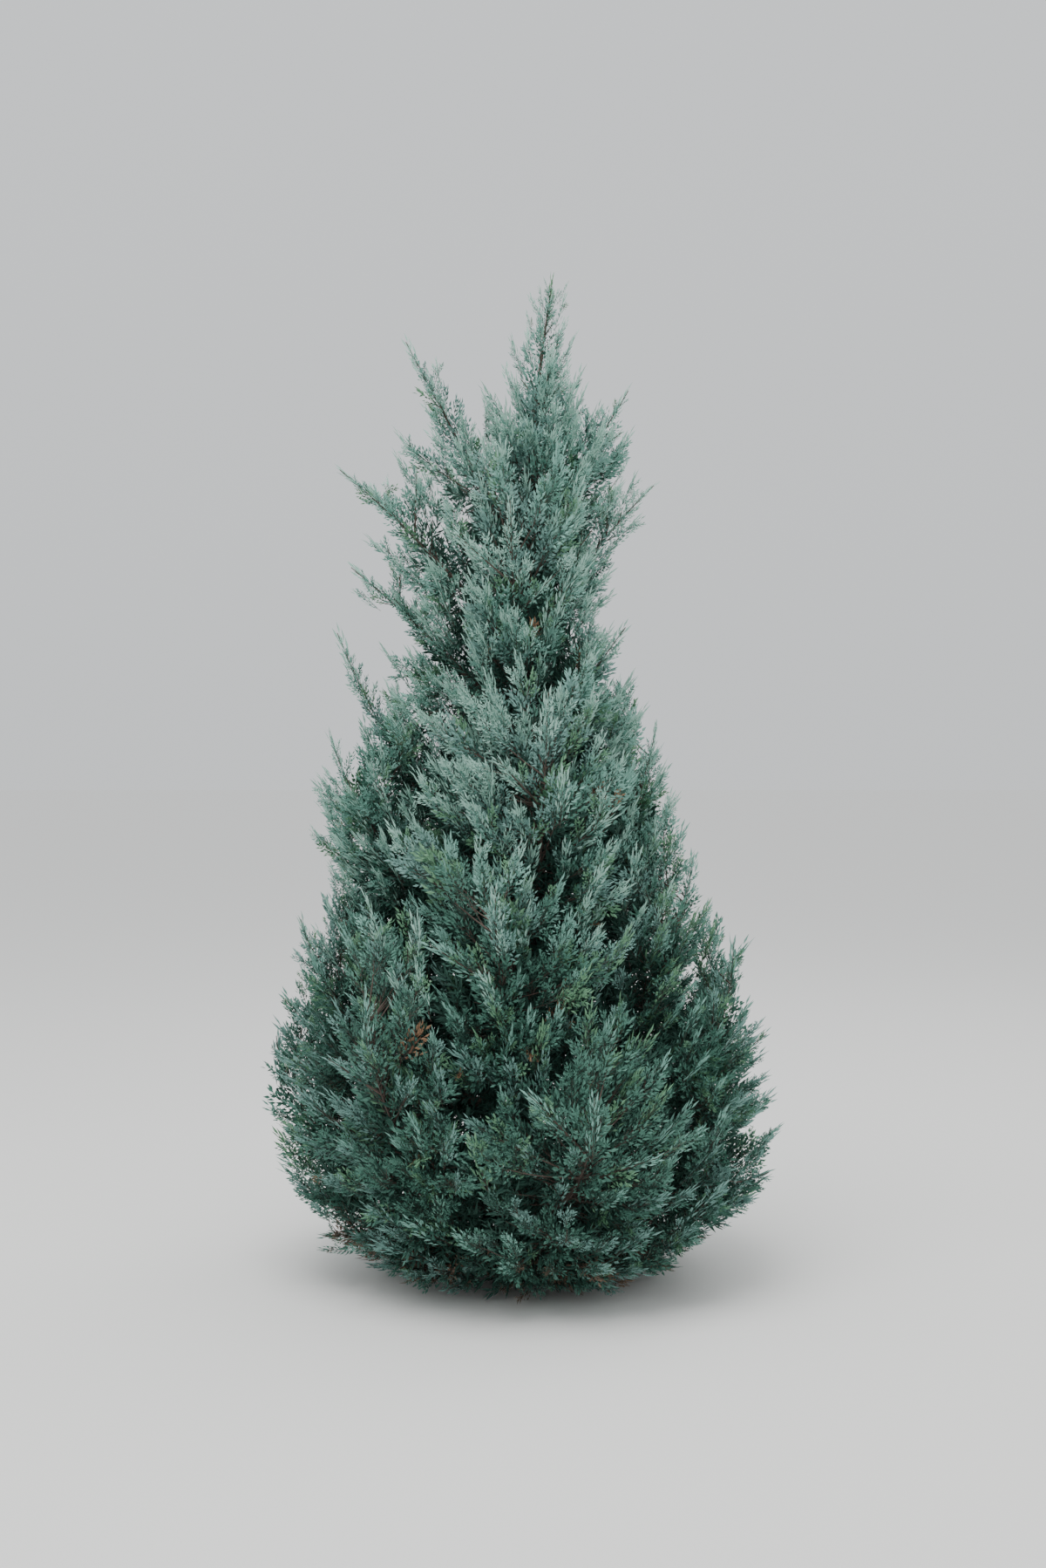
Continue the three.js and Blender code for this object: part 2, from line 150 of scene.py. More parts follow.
def across(direction, wanted):  # the direction across a line that leans most towards the wanted one
    flat = wanted - direction * wanted.dot(direction)
    if flat.dot(flat) < 1e-6:
        flat = np.cross((direction[1], -direction[0], direction[2] * 0.5), direction)
    return unit(flat)


def turned(vector, axis, angle):
    cosine = cos(angle)
    return vector * cosine + np.cross(axis, vector) * sin(angle) + axis * axis.dot(vector) * (1 - cosine)


def leaving(tangent, spread, turn, lift):
    angle = radians(spread)
    sideways = turned(across(tangent, up), tangent, turn)
    return unit(tangent * cos(angle) + sideways * sin(angle) + up * lift)


def trunkAxis(height):
    height = np.asarray(height, float)
    above = np.maximum(0, height - trunk["leanFrom"]) / (tree["height"] - trunk["leanFrom"])
    wave = 2 * pi * height / trunk["swayLength"]
    x = trunk["lean"] * above ** trunk["leanBend"] + trunk["sway"] * np.sin(wave)
    return np.stack([x, trunk["sway"] * (1 - np.cos(wave * trunk["swayAside"])), height], axis=-1)


def trunkRadius(height, angle):
    left = 1 - np.minimum(height, trunk["top"]) / trunk["top"]
    taper = trunk["tipRadius"] + (trunk["footRadius"] - trunk["tipRadius"]) * left ** trunk["taper"]
    foot = np.exp(-np.asarray(height) / trunk["flareHeight"])
    lobes = trunk["lobeDepth"] * foot * np.cos(trunk["flareLobes"] * angle)
    return (taper + trunk["flare"] * foot) * (1 + lobes)


def crownRadius(height, rightward):
    left, right, front = (np.interp(height, crownOutline[:, 0], reach) for reach in crownOutline[:, 1:].T)
    return front + (left + (right - left) * (1 + rightward) / 2 - front) * rightward**2


def bentLine(start, elbow, end, share):
    t = np.asarray(share, float)[..., None]
    return start * (1 - t) ** 2 + elbow * 2 * t * (1 - t) + end * t**2


def bentTangent(start, elbow, end, share):
    return unit((elbow - start) * (1 - share) + (end - elbow) * share)


class Stem:  # a limb on a bent line, bare at first and leaved from a share of it on
    def __init__(self, start, elbow, end, bare=0.0, slim=False):
        self.line, self.end, self.bare, self.slim = (start, elbow, end), end, bare, slim
        spots = self.points(np.linspace(0, 1, 201))
        self.length = norm(np.diff(spots, axis=0), axis=1).sum()
        self.leaved = self.length * (1 - bare)

    def points(self, along):
        return bentLine(*self.line, along)

    def tangent(self, along):
        return bentTangent(*self.line, along)

    def radius(self, along):
        if self.slim:
            return trunk["tipRadius"] * (1 - trunk["leaderTaper"] * np.asarray(along))
        left = (1 - np.asarray(along)) ** bough["taper"]
        return bough["tipRadius"] + bough["rootRadiusPerLength"] * self.length * left


def limb(azimuth, root, tip, reach, bend, bare=0.0):  # without a reach it goes out to the crown's outline
    out = heading(azimuth)
    start = trunkAxis(root)
    end = trunkAxis(tip) + out * (reach or crownRadius(tip, out[0]))
    elbow = between((start, end), bend[0])
    elbow[2] = between((start[2], end[2]), bend[1])
    return Stem(start, elbow, end, bare)


def tierLimbs(number, count, turn, roots, tips, firstTip, bend):
    for i in range(count):
        azimuth = turn + 360 * i / count + drift(azimuthPlay, number, i, 1)
        yield azimuth, drawn(roots, number, i, 2), between(tips, (firstTip + i * tipStep) % 1), None, bend


lowerLimbs = [limbSizes for number, tier in enumerate(tiers) for limbSizes in tierLimbs(number, *tier)]
boughs = [limb(*limbSizes, bough["bare"]) for limbSizes in lowerLimbs + upperLimbs]
leaderRoot, leaderTip = trunkAxis(trunk["top"]) + up * tree["gap"], trunkAxis(tree["height"])
leader = Stem(leaderRoot, (leaderRoot + leaderTip) / 2, leaderTip, slim=True)
stems = boughs + [limb(*limbSizes) for limbSizes in tufts] + [leader]


# Each mass keeps to the places that lie nearer its own stem than any other.
def linesOf(paths):  # the straight pieces of some paths, and how many each path has
    starts = np.concatenate([path[:-1] for path in paths])
    ends = np.concatenate([path[1:] for path in paths])
    return starts, ends - starts, ((ends - starts) ** 2).sum(axis=1), len(paths[0]) - 1


leavedPaths = [stem.points(np.linspace(stem.bare, 1, space["stemSteps"] + 1)) for stem in stems]
allStemLines = linesOf(leavedPaths)
stemLines = [linesOf([path]) for path in leavedPaths]
bareLines = linesOf([stem.points(np.linspace(0, stem.bare, space["bareSteps"] + 1)) for stem in boughs])
bareRadii = np.array([stem.radius(0) for stem in boughs])


def distances(points, lines):  # from each point to each path
    starts, runs, squares, steps = lines
    apart = points[:, None] - starts
    share = np.clip((apart * runs).sum(axis=2) / squares, 0, 1)
    nearest = apart - runs * share[..., None]
    return np.sqrt((nearest**2).sum(axis=2)).reshape(len(points), -1, steps).min(axis=2)


def nearestStem(point):
    return int(distances(point[None], allStemLines)[0].argmin())


def depthIn(points):  # how deep in the crown's outline each point lies
    out = (points - trunkAxis(points[:, 2]))[:, :2]
    reach = norm(out, axis=1)
    return crownRadius(points[:, 2], out[:, 0] / np.maximum(reach, 1e-6)) - reach


def beside(points, owner):  # how far from its stem a mass may stand out of the crown's outline
    toEnd = norm(points - stems[owner].end, axis=1)
    return np.minimum(besideStem["most"], besideStem["atEnd"] + besideStem["perLength"] * toEnd)


def inCrown(points, owner, apart):  # in the crown's outline, or close enough beside the owner's own stem
    inside = (depthIn(points) >= 0) | (apart < beside(points, owner))
    return inside & (points[:, 2] > space["ground"]) & (points[:, 2] < tree["height"])


def isFree(points, owner):  # in the mass's own space
    points = np.atleast_2d(points)
    toStems = distances(points, allStemLines)
    own = toStems[:, owner].copy()
    toStems[:, owner] = np.inf
    free = inCrown(points, owner, own) & (own + space["margin"] <= toStems.min(axis=1))
    toBare = distances(points, bareLines) - bareRadii
    if owner < len(boughs):
        toBare[:, owner] = np.inf
    height = np.minimum(points[:, 2], trunk["top"])
    toTrunk = norm(points - trunkAxis(height), axis=1) - trunkRadius(height, 0)
    return free & (np.minimum(toBare.min(axis=1), toTrunk) > space["limb"])


# The masses: the same twigs and sprays as the solids have, each grown on into a flame of small plumes.

plume = {
    "spacing": 21, "jitter": 0.7, "first": 0.3, "twigFirst": 0.2, "limbFirst": 0.05, "upperFirst": -0.35,
    "upperFine": 0.72, "stop": 34, "spread": 40, "lift": 0.35, "perDistance": 0.42, "least": 15, "most": 120,
    "play": (0.8, 1.2), "cuts": (1, 0.84, 0.7, 0.58), "smallest": 15, "lowest": 16, "ends": (130, 200),
    "endShare": 0.8, "endGirth": 0.42, "sides": (90, -90, 180), "limbSides": (0, 140, -70, 70, -140),
    "sidePlay": 110, "kinds": 6,
}
flame = {  # how steeply the flames rise at each height, how much they vary, and their twigs
    "heights": (0, 200, 500, 1200, 2000, 2600), "rise": (16, 34, 47, 56, 57, 62), "riseVaries": 24,
    "swing": 48, "share": 0.45, "twigEnd": 0.8, "twigGirth": 0.006, "intoEnd": 0.85, "leastWood": 0.2,
    "steps": 5,
}

plumes = []  # root, aim, reach, owner, girth, distance to its flame's tip
innerSprays = []
deadSprays = []
twigPaths = []  # points, radii


def addTwig(path, radii):
    twigPaths.append((path, np.linspace(*radii, len(path))))


def sprayPoints(root, direction, facing, length, half):
    normal = across(direction, facing)
    sideways = np.cross(normal, direction)
    spots = [(along, side * out, 0) for side in (1, -1) for along, out in half] + [(1, 0, 0)]
    spots += [(spray["heart"], 0, rise * spray["thickness"] / 2) for rise in (1, -1)]
    return np.array([root + length * (direction * a + sideways * o + normal * r) for a, o, r in spots])


def sprayOn(root, direction, turn, length, half, owner):  # the first of its sizes that lies free, if any
    facing = turned(across(direction, up), direction, turn)
    sunk = root - direction * spray["sunk"]
    for cut in spray["cuts"]:
        if length * cut > spray["smallest"]:
            if isFree(sprayPoints(sunk, direction, facing, length * cut, half), owner).all():
                return root, sunk + direction * length * cut
    return None


def sprayLength(stem, *keys):
    full = min(max(stem.leaved * spray["share"], spray["least"]), spray["most"])
    return full * drawn(spray["play"], *keys)


def twigOf(stem, owner, i):
    share = between((mass["firstTwig"], mass["lastTwig"]), (i + chance(owner, i, 11)) / mass["twigs"])
    along = between((stem.bare, 1), share)
    turn = pi / 2 + pi * i + drift(mass["twigTurns"], owner, i, 12)
    direction = leaving(stem.tangent(along), mass["twigSpread"], turn, mass["lift"])
    root = stem.points(along)
    full = stem.leaved * mass["twigShare"]
    for cut in spray["cuts"]:
        end = root + direction * full * cut
        if full * cut > mass["twigLeast"] and isFree(end, owner)[0]:
            return root, end, direction
    return None


def twigSprays(stem, twig, owner, i):
    root, end, along = twig
    fan = [  # place on the twig, turn, spread, lift and outline
        (1, 3 * chance(owner, i, 22), spray["endSpread"], 0.5, toothedHalf),
        (0.7, 1.2 + chance(owner, i, 23), spray["sideSpread"], 0.25, toothedHalf),
        (0.9, 4.3 + chance(owner, i, 24), spray["sideSpread"], 0.25, plainHalf),
    ]
    for j, (at, turn, spread, lift, half) in enumerate(fan):
        direction = leaving(along, spread, turn, lift)
        length = sprayLength(stem, owner, i, j)
        yield sprayOn(between((root, end), at), direction, turn * 2, length, half, owner)


def stemSprays(stem, owner):
    count = mass["stemSprays"]
    for i in range(count):
        share = between((mass["firstSpray"], mass["lastSpray"]), i / (count - 1))
        along = between((stem.bare, 1), share)
        turn = goldenTurn * i + owner
        direction = leaving(stem.tangent(along), spray["sideSpread"], turn, mass["lift"])
        length = sprayLength(stem, owner, i, 31)
        yield sprayOn(stem.points(along), direction, turn, length, toothedHalf, owner)


def addPlume(root, direction, length, owner, toTip):  # made smaller until its tip lies in the crown
    tips = np.array([root + direction * length * cut for cut in plume["cuts"]])
    free = inCrown(tips, owner, distances(tips, stemLines[owner])[:, 0])
    if not free.any():
        return
    reach = length * plume["cuts"][int(free.argmax())]
    tip = root + direction * reach
    if reach >= plume["smallest"] and tip[2] > plume["lowest"]:
        hidden = toTip > inner["behind"] and depthIn(tip[None])[0] > inner["from"]
        if not hidden:
            plumes.append((root, direction, reach, owner, 1.0, toTip))
        elif chance(len(innerSprays), owner, round(reach * 9)) < inner["share"]:
            innerSprays.append((root, direction, reach, owner, 1.0, toTip))


def clothe(at, tangent, length, first, owner, number, sides, fine=1):  # plumes in rows, shorter to the end
    clothed = length * (1 - first) - plume["stop"]
    count = round(clothed / (plume["spacing"] * fine))
    for i in range(count):
        toTip = plume["stop"] + clothed * (1 - (i + plume["jitter"] * chance(owner, number, i, 51)) / count)
        along = 1 - toTip / length
        turn = radians(sides[i % len(sides)] + drift(plume["sidePlay"], owner, number, i, 52))
        aim = leaving(tangent(along), plume["spread"], turn, plume["lift"])
        full = min(plume["most"], plume["least"] + plume["perDistance"] * toTip)
        full *= top["slimmer"] if stems[owner].slim else fine
        addPlume(at(along), aim, full * drawn(plume["play"], owner, number, i, 53), owner, toTip)


def endPlume(tip, aim, length, owner, number):  # a slender shoot that ends a twig or a limb
    reach = min(drawn(plume["ends"], owner, number, 54), length * plume["endShare"])
    plumes.append((tip - aim * reach, aim, reach, owner, plume["endGirth"], 0))
    return reach


def growTwig(root, tip, endAim, owner, number):  # a twig that turns up and bears a flame of plumes
    length = norm(tip - root)
    line = root, tip - endAim * length * flame["share"], tip
    endReach = endPlume(tip, endAim, length, owner, number)
    stop = max(1 - flame["intoEnd"] * endReach / length, flame["leastWood"])
    thick = flame["twigEnd"] + flame["twigGirth"] * length
    path = bentLine(*line, np.linspace(0, stop, flame["steps"]))
    addTwig(path, (thick, flame["twigEnd"]))
    clothe(lambda share: bentLine(*line, share), lambda share: bentTangent(*line, share),
           length, plume["first"], owner, number, plume["sides"])


def flameAim(out, height, *keys):  # outward, and more steeply up the higher it stands
    rise = np.interp(height, flame["heights"], flame["rise"]) + drift(flame["riseVaries"], *keys, 61)
    swing = radians(drift(flame["swing"], *keys, 62))
    level = turned(out, up, swing)
    return level * cos(radians(rise)) + up * sin(radians(rise))


def outwardAt(points):  # level and straight away from the trunk
    out = (points - trunkAxis(points[..., 2])) * (1, 1, 0)
    return out / np.maximum(norm(out, axis=-1, keepdims=True), 1e-6)


def growMass(stem, owner):  # the source's own twigs and sprays, and the limb's own plumes
    reaches = [reach for reach in stemSprays(stem, owner) if reach]
    for i in range(mass["twigs"]):
        twig = twigOf(stem, owner, i)
        if twig:
            root, end, direction = twig
            length = norm(end - root)
            path = between((root, end), np.linspace(0, 1, 4)[:, None])
            addTwig(path, mass["twigRadii"])
            endPlume(end, direction, length, owner, i + 60)
            reaches += [reach for reach in twigSprays(stem, twig, owner, i) if reach]
            clothe(lambda share: between((root, end), share), lambda share: direction,
                   length, plume["twigFirst"], owner, i + 50, plume["limbSides"])
    for number, (root, tip) in enumerate(reaches):
        aim = unit(unit(tip - root) + flameAim(outwardAt(tip), tip[2], owner, number))
        growTwig(root, tip, aim, owner, number)
    endPlume(stem.end, stem.tangent(1), stem.length, owner, 0)
    upper = len(lowerLimbs) <= owner < len(boughs)
    clothe(lambda share: stem.points(between((stem.bare, 1), share)),
           lambda share: stem.tangent(between((stem.bare, 1), share)), stem.leaved,
           plume["upperFirst" if upper else "limbFirst"], owner, 90, plume["limbSides"],
           plume["upperFine"] if upper else 1)


hull = {  # layers: share of the crown's reach, fewest plumes near a place, key of its draws
    "spacing": 88, "layers": ((0.985, 4, 101), (0.87, 4, 141), (0.97, 3, 171)), "body": 70, "near": 75,
    "lowest": 50, "bareBelow": 170, "bareShare": 0.72, "openAbove": 1880, "highest": 2350,
    "rowShare": 0.9, "rowPlay": 0.6, "thinning": (1600, 2200), "closer": 0.85,
    "lump": 0.12, "lumpSize": 240, "lumpTurns": 2.2, "raggedFrom": (300, 1200), "ragged": (0.1, 0.28),
    "raggedBend": 1.3, "long": 280, "slant": 1.1, "leafed": (0.01, 0.97), "fromRoot": 0.35, "whip": 55,
}


def shellPoints(share, spacing, highest, key):  # rows of places round the crown, at a share of its reach
    found = []
    height, row = hull["lowest"], 0
    while height < highest:
        reach = float(crownRadius(height, 0)) * share
        apart = spacing * np.interp(height, hull["thinning"], (1, hull["closer"]))
        ragged = np.interp(height, hull["raggedFrom"], hull["ragged"])
        count = max(3, round(2 * pi * reach / apart))
        for i in range(count):
            turn = 360 * (i + 0.5 * (row % 2) + drift(0.5, row, i, key)) / count
            level = height + drift(apart * hull["rowPlay"], row, i, key + 1)
            out = heading(turn)
            spot = Vector((*(out[:2] * hull["lumpTurns"]), level / hull["lumpSize"]))
            lump = max(0.0, noise(spot))
            inset = 1 - hull["lump"] * lump - ragged * chance(row, i, key + 2) ** hull["raggedBend"]
            found.append((level, out, float(crownRadius(level, out[0])) * share * inset))
        below = float(crownRadius(height + apart, 0)) * share
        height += hull["rowShare"] * apart**2 / hypot(apart, below - reach)
        row += 1
    return found


def stemRoot(point, owner, long):  # where on its stem a twig that reaches a point leaves it
    stem = stems[owner]
    first, last = hull["leafed"]
    shares = np.linspace(stem.bare + first, last, 40)
    apart = norm(stem.points(shares) - point, axis=1)
    nearest = int(apart.argmin())
    far = np.nonzero(apart[:nearest + 1] >= max(long, apart[nearest] * hull["slant"]))[0]
    along = shares[far[-1]] if len(far) else shares[0]
    return stem.points(along), apart[nearest]


def fillLayer(share, few, key):  # flames wherever few plumes stand yet
    middles = np.array([item[0] + item[1] * item[2] / 2 for item in plumes])
    grown = 0
    for number, (level, out, reach) in enumerate(shellPoints(share, hull["spacing"], hull["highest"], key)):
        tip = trunkAxis(level) + out * reach
        rise = flameAim(out, level, number, 7)
        standing = (norm(middles - tip + rise * hull["body"], axis=1) < hull["near"]).sum()
        full = standing >= few - (level > hull["openAbove"])
        if full or (level <= hull["bareBelow"] and chance(number, 63) <= hull["bareShare"]):
            continue
        owner = nearestStem(tip)
        root, apart = stemRoot(tip, owner, hull["long"])
        aim = unit(hull["fromRoot"] * unit(tip - root) + rise)
        tip = tip + aim * hull["whip"] * chance(number, 64) ** 2 * min(1, level / hull["raggedFrom"][0])
        growTwig(root, tip, aim, owner, number + 10 * key)
        grown += 1
    return grown


inner = {
    "spacing": 77, "shells": (0.84, 0.7, 0.54, 0.38, 0.2), "key": 111, "highest": 2150, "kinds": 3,
    "reach": (85, 140), "rise": 0.4, "sunk": 0.6, "mostSunk": 0.8, "sag": 20, "twigRadii": (1.5, 0.8),
    "cover": 140, "heights": (1500, 2000), "leastDepths": (95, 150), "depths": (140, 280),
    "girths": (1.0, 1.7), "from": 150, "behind": 110, "share": 0.3, "colours": ("2f4f45", "43685b"),
}


def fillInside():  # tufts of shaded foliage on thin twigs, deeper in
    for shell, share in enumerate(inner["shells"]):
        places = shellPoints(share, inner["spacing"], inner["highest"], inner["key"] + 5 * shell)
        for number, (level, out, reach) in enumerate(places):
            spot = trunkAxis(level) + out * reach
            owner = nearestStem(spot)
            depth = depthIn(np.array([spot, spot + up * inner["cover"]])).min()
            least = np.interp(level, inner["heights"], inner["leastDepths"])
            if depth < least or not isFree(spot, owner)[0]:
                continue
            girth = np.interp(depth, inner["depths"], inner["girths"])
            root, apart = stemRoot(spot, owner, 0)
            aim = unit(unit(spot - root) + up * inner["rise"])
            tuft = drawn(inner["reach"], number, shell, 121)
            start = spot - aim * min(tuft * inner["sunk"], apart * inner["mostSunk"])
            bend = np.linspace(0, 1, 3)[:, None]
            path = root * (1 - bend) + start * bend - up * inner["sag"] * bend * (1 - bend)
            addTwig(path, inner["twigRadii"])
            innerSprays.append((start, aim, tuft, owner, girth, 0))


top = {
    "from": 2100, "to": 2560, "step": 26, "spread": 42, "lift": 0.3, "rise": 0.6, "least": 34, "share": 0.5,
    "play": (0.8, 1.15), "over": 30, "slimmer": 0.68,
}


def growTop():  # short flames straight on the trunk's thin end and round the leader
    owner = len(stems) - 1

    def at(share):
        return trunkAxis(between((top["from"], tree["height"]), share))

    def tangent(share, step=0.01):
        return unit(at(share + step) - at(share - step))

    clothe(at, tangent, tree["height"] - top["from"], plume["limbFirst"], owner, 400, plume["limbSides"])
    for i, height in enumerate(np.arange(top["from"], top["to"], top["step"])):
        root = trunkAxis(height)
        along = unit(trunkAxis(height + 5) - trunkAxis(height - 5))
        aim = leaving(along, top["spread"], goldenTurn * i, top["lift"])
        reach = (top["least"] + top["share"] * (tree["height"] - height)) * drawn(top["play"], i, 141)
        for cut in plume["cuts"]:
            tip = root + aim * reach * cut
            if depthIn(tip[None])[0] > -top["over"] and tip[2] < tree["height"]:
                growTwig(root, tip, unit(aim + up * top["rise"]), owner, i + 300)
                break


foot = {
    "stems": 104, "root": (30, 90), "rootOut": 30, "reach": (0.68, 1.04), "bareReach": 0.8,
    "rise": (20, 125), "sag": 0.2, "radii": (3, 0.9), "steps": 8, "live": 0.62, "liveFrom": 3,
    "lift": 0.1, "sprigs": 2, "sprigFrom": 4, "sprigAside": 1.2, "sprigRise": 0.8,
    "sprigReach": (60, 100), "sprigGirth": 0.8,
}


def growFoot():  # thin stems low in the skirt, with dead sprigs or a live end
    for i in range(foot["stems"]):
        out = heading(360 * (i + chance(i, 131)) / foot["stems"])
        level = drawn(foot["rise"], i, 132)
        start = trunkAxis(drawn(foot["root"], i, 133)) + out * foot["rootOut"]
        live = chance(i, 137) < foot["live"]
        share = drawn(foot["reach"], i, 134) * (1 if live else foot["bareReach"])
        end = trunkAxis(level) + out * float(crownRadius(level, out[0])) * share
        elbow = between((start, end), 0.5) - up * foot["sag"] * start[2]
        path = bentLine(start, elbow, end, np.linspace(0, 1, foot["steps"]))
        addTwig(path, foot["radii"])
        for k in range(foot["sprigs"]):
            aside = np.cross(up, out) * (k - 0.5) * foot["sprigAside"]
            aim = unit(out + up * foot["sprigRise"] * chance(i, k, 135) + aside)
            reach = drawn(foot["sprigReach"], i, k, 136)
            deadSprays.append((path[foot["sprigFrom"] + k], aim, reach, len(stems), foot["sprigGirth"], 0))
        if live:
            aim = unit(out + up * foot["lift"])
            growTwig(path[foot["liveFrom"]], end, aim, nearestStem(end), i + 500)


for owner, stem in enumerate(stems):
    growMass(stem, owner)
print(f"masses: {len(plumes)} plumes on the source's own limbs, twigs and sprays")
print(f"crown: {sum(fillLayer(*layer) for layer in hull['layers'])} flames more")
fillInside()
growTop()
growFoot()
print(f"grown: {len(twigPaths)} twigs, {len(plumes)} plumes, {len(innerSprays)} inner sprays")


# Node trees

class Value:  # a socket that takes part in arithmetic
    def __init__(self, net, socket):
        self.net, self.socket = net, socket

    def maths(self, operation, *others):
        return self.net.add("ShaderNodeMath", {"operation": operation}, dict(enumerate([self, *others])))

    def __add__(self, other):
        return self.maths("ADD", other)

    def __sub__(self, other):
        return self.maths("SUBTRACT", other)

    def __rsub__(self, other):
        return self * -1 + other

    def __mul__(self, other):
        return self.maths("MULTIPLY", other)

    def __pow__(self, other):
        return self.maths("POWER", other)

    __radd__ = __add__
    __rmul__ = __mul__


class Net:  # a node tree, for a material or for geometry
    def __init__(self, tree):
        self.tree = tree

    def add(self, kind, settings=None, inputs=None, output=0):
        node = self.tree.nodes.new(kind)
        for name, value in (settings or {}).items():
            if name == "stops":
                self.setStops(node.color_ramp, value)
            else:
                setattr(node, name, value)
        for name, value in (inputs or {}).items():
            self.feed(node.inputs[name], value)
        return Value(self, node.outputs[output]) if len(node.outputs) else node

    def feed(self, socket, value):
        if isinstance(value, Value):
            self.tree.links.new(value.socket, socket)
        else:
            socket.default_value = value

    def setStops(self, ramp, stops):
        while len(ramp.elements) < len(stops):
            ramp.elements.new(1)
        for element, (place, colour) in zip(ramp.elements, stops):
            element.position, element.color = place, colour


def linear(hexColour):  # a screen colour as the numbers that a shader takes
    parts = [int(hexColour[i:i + 2], 16) / 255 for i in (0, 2, 4)]
    return [p / 12.92 if p <= 0.04045 else ((p + 0.055) / 1.055) ** 2.4 for p in parts] + [1]


def shaderNet(name, coordinates="Object"):  # a material with its net, and the place on a piece
    material = bpy.data.materials.new(name)
    material.use_nodes = True
    material.node_tree.nodes.clear()
    net = Net(material.node_tree)
    return material, net, net.add("ShaderNodeTexCoord", None, None, output=coordinates)


def finishShader(net, look, base, mottle=0, bump=None):  # the roughness follows the mottle
    roughness = mottle * look["roughPlay"] + look["roughness"]
    inputs = {"Base Color": base, "Roughness": roughness, "Specular IOR Level": look["gloss"]}
    if bump is not None:
        bumpInputs = {"Strength": look["bump"], "Distance": look["bumpDistance"], "Height": bump}
        inputs["Normal"] = net.add("ShaderNodeBump", None, bumpInputs)
    shader = net.add("ShaderNodeBsdfPrincipled", None, inputs)
    net.add("ShaderNodeOutputMaterial", None, {"Surface": shader})


def mixColours(net, factor, one, other):
    return net.add("ShaderNodeMix", {"data_type": "RGBA"}, {0: factor, 6: one, 7: other}, output=2)


def noiseOn(net, place, scale, detail, roughness=0.5):
    inputs = {"Vector": place, "Scale": scale, "Detail": detail, "Roughness": roughness}
    return net.add("ShaderNodeTexNoise", None, inputs)


foliageLook = {
    "patch": 55, "fine": 900, "wax": 0.3, "play": 0.22, "roughness": 0.52, "roughPlay": 0.2, "gloss": 0.3,
    "bumpDistance": 0.0006, "bump": 0.35,
}


def foliageFinish(name, colour, waxColour):
    look = foliageLook
    material, net, place = shaderNet(name)
    patch = noiseOn(net, place, look["patch"], 3)
    scales = net.add("ShaderNodeTexVoronoi", None, {"Vector": place, "Scale": look["fine"]})
    wax = (patch - 0.5) * 2 * look["play"] + look["wax"]
    base = mixColours(net, wax, linear(colour), linear(waxColour))
    finishShader(net, look, base, patch, scales)
    return material


barkLook = {
    "around": 9, "along": 2.2, "fibre": 4, "blotch": 14, "groove": (0.38, 0.62), "deep": "29201b",
    "strip": "685850", "pale": "8d8178", "palePlay": 1.1, "roughness": 0.75, "roughPlay": 0.2, "gloss": 0.25,
    "bumpDistance": 0.004, "bump": 0.8, "blotchBump": 0.3,
}


def barkFinish(name, look):
    material, net, place = shaderNet(name, "UV")
    scale = (look["around"], look["along"], 1)
    stretch = net.add("ShaderNodeMapping", None, {"Vector": place, "Scale": scale})
    fibre = noiseOn(net, stretch, look["fibre"], 8, 0.65)
    blotch = noiseOn(net, place, look["blotch"], 4)
    stops = [(look["groove"][0], (0, 0, 0, 1)), (look["groove"][1], (1, 1, 1, 1))]
    groove = net.add("ShaderNodeValToRGB", {"stops": stops}, {"Fac": fibre})
    strips = mixColours(net, groove, linear(look["deep"]), linear(look["strip"]))
    base = mixColours(net, blotch ** 2 * look["palePlay"], strips, linear(look["pale"]))
    finishShader(net, look, base, fibre, fibre + blotch * look["blotchBump"])
    return material


twigLook = {
    "patch": 26, "fine": 420, "young": "6e6058", "old": "3d332d", "youngPlay": 1.6, "youngFrom": 0.3,
    "roughness": 0.7, "roughPlay": 0.2, "gloss": 0.25, "bumpDistance": 0.0008, "bump": 0.5,
}


def twigFinish(name, look):
    material, net, place = shaderNet(name)
    patch = noiseOn(net, place, look["patch"], 2)
    fine = noiseOn(net, place, look["fine"], 2)
    youth = patch * look["youngPlay"] - look["youngFrom"]
    base = mixColours(net, youth, linear(look["old"]), linear(look["young"]))
    finishShader(net, look, base, fine, fine)
    return material


# Sprays: a plume's shape is made a few times over, and Geometry Nodes sets the copies on the twigs.

plumeShape = {
    "bend": 0.16, "slim": (0.8, 1.15), "axisRadii": (0.011, 0.006), "axisTo": 0.65, "woodTo": 0.3,
    "woodWidth": 0.011, "woodLength": 0.95, "twiglets": 13, "placePlay": 0.6, "first": -0.04, "last": 0.86,
    "reach": 0.25, "reachPlay": (0.7, 1.25), "least": 0.07, "angle": (44, 26), "anglePlay": 10,
    "turnPlay": 2.4, "flat": 0.6, "taper": 0.8, "upturn": 0.2, "facingPlay": 0.5, "shootFrom": 0.2,
    "spacing": 0.105, "length": 0.172, "lengthPlay": (0.8, 1.2), "width": 0.072, "shootAngle": 29,
    "roll": 1.8, "lastShoot": 1.15, "fold": 0.3, "belly": 0.42, "tipFrom": 0.52, "paleFrom": 0.72,
    "endShoots": 5, "endFrom": 0.66, "endTo": 0.9, "endLength": 0.15, "endWidth": 0.85, "endAngle": 0.5,
    "lastAt": 0.87,
}


